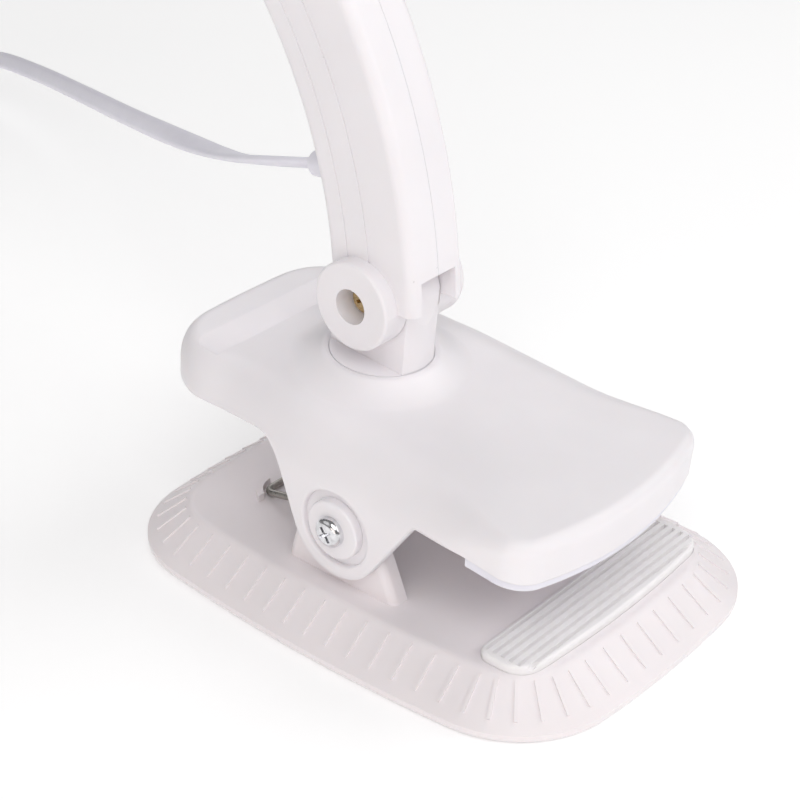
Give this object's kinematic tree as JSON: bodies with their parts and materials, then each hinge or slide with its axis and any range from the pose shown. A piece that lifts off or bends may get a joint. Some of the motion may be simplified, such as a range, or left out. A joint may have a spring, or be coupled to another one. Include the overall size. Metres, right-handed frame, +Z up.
{
  "type": "clip-on reading lamp",
  "caption": "Clip-on reading lamp: sprung clamp on a broad base, turning disc, curved tilting arm and slim tilting light head with a supply cord.",
  "frame": {"origin": "middle of the underside of the base, on the surface it stands on, at the face of the centre foot", "axes": "+X from the handle towards the clip's gripping nose, +Z up out of the base, +Y completes the right-handed frame"},
  "size_m": [0.547, 0.1829, 0.2299],
  "materials": {
    "shell": "satin white moulded plastic",
    "base_shell": "satin white moulded plastic",
    "grip": "soft white grip pad",
    "disc": "satin white moulded plastic",
    "soft_pad": "soft pale grip pad",
    "foot": "soft grey rubber",
    "cover": "textured white plastic",
    "ballast": "dull zinc-plated steel",
    "hinge_metal": "bright nickel",
    "cap": "satin white moulded plastic",
    "sleeve": "plain white plastic",
    "spring": "oiled spring steel",
    "brass": "yellow zinc-plated screw",
    "screw": "zinc-plated screw",
    "cord": "smooth pale vinyl",
    "plug": "pale moulded vinyl",
    "plug_metal": "nickel-plated steel",
    "plug_core": "white plastic with gold contacts",
    "tie": "grey hook-and-loop strap",
    "lens": "frosted diffuser",
    "reflector": "white reflector frame",
    "board": "white circuit board",
    "led": "yellow phosphor chips",
    "switch": "black tact switch",
    "button": "pale grey button"
  },
  "bodies": {
    "base": {"base_plate": "base_shell", "lower_grip_pad": "grip", "bottom_cover": "cover", "ballast_plate": "ballast", "cover_screws": "screw", "base_feet": "foot", "pivot_tube": "sleeve", "pivot_caps": "cap", "pivot_screws": "hinge_metal", "torsion_spring": "spring"},
    "jaw": {"upper_jaw": "shell", "jaw_pad": "soft_pad"},
    "swivel": {"swivel_base": "disc", "swivel_washer": "screw", "swivel_screw": "screw"},
    "arm": {"arm_shell_near": "shell", "arm_shell_far": "shell", "arm_screws": "screw", "tilt_screw": "brass", "tilt_nut": "screw", "cord_gland": "cord", "inner_lead": "cord", "cord": "cord", "cord_coil": "cord", "cord_tail": "cord", "plug_body": "plug", "plug_shell": "plug_metal", "plug_contacts": "plug_core", "coil_tie": "tie"},
    "head": {"head_housing": "shell", "head_bezel": "shell", "diffuser": "lens", "reflector": "reflector", "led_board": "board", "leds": "led", "tact_switch": "switch", "head_screw": "screw", "head_nut": "screw"},
    "button": {"power_button": "button"}
  },
  "joints": [
    {"name": "clip_hinge", "type": "hinge", "parent": "base", "child": "jaw", "pos_m": [-0.0004, 0, 0.0296], "axis": [0, 1, 0], "range_deg": [-6, 14], "stiffness_Nm_per_rad": 0.6, "springref_deg": 51.57, "deforming": ["torsion_spring"]},
    {"name": "disc_swivel", "type": "hinge", "parent": "jaw", "child": "swivel", "pos_m": [-0.0196, 0, 0.0574], "axis": [0.0872, 0, 0.9962], "range_deg": [-110, 110]},
    {"name": "arm_tilt", "type": "hinge", "parent": "swivel", "child": "arm", "pos_m": [-0.0176, 0, 0.0755], "axis": [0, 1, 0], "range_deg": [-18, 45]},
    {"name": "head_tilt", "type": "hinge", "parent": "arm", "child": "head", "pos_m": [-0.16175, 0, 0.21675], "axis": [0, 1, 0], "range_deg": [-55, 30]},
    {"name": "button_press", "type": "slide", "parent": "head", "child": "button", "axis": [0.2079, 0, -0.9781], "range_m": [0, 0.0004], "stiffness_N_per_m": 600}
  ]
}
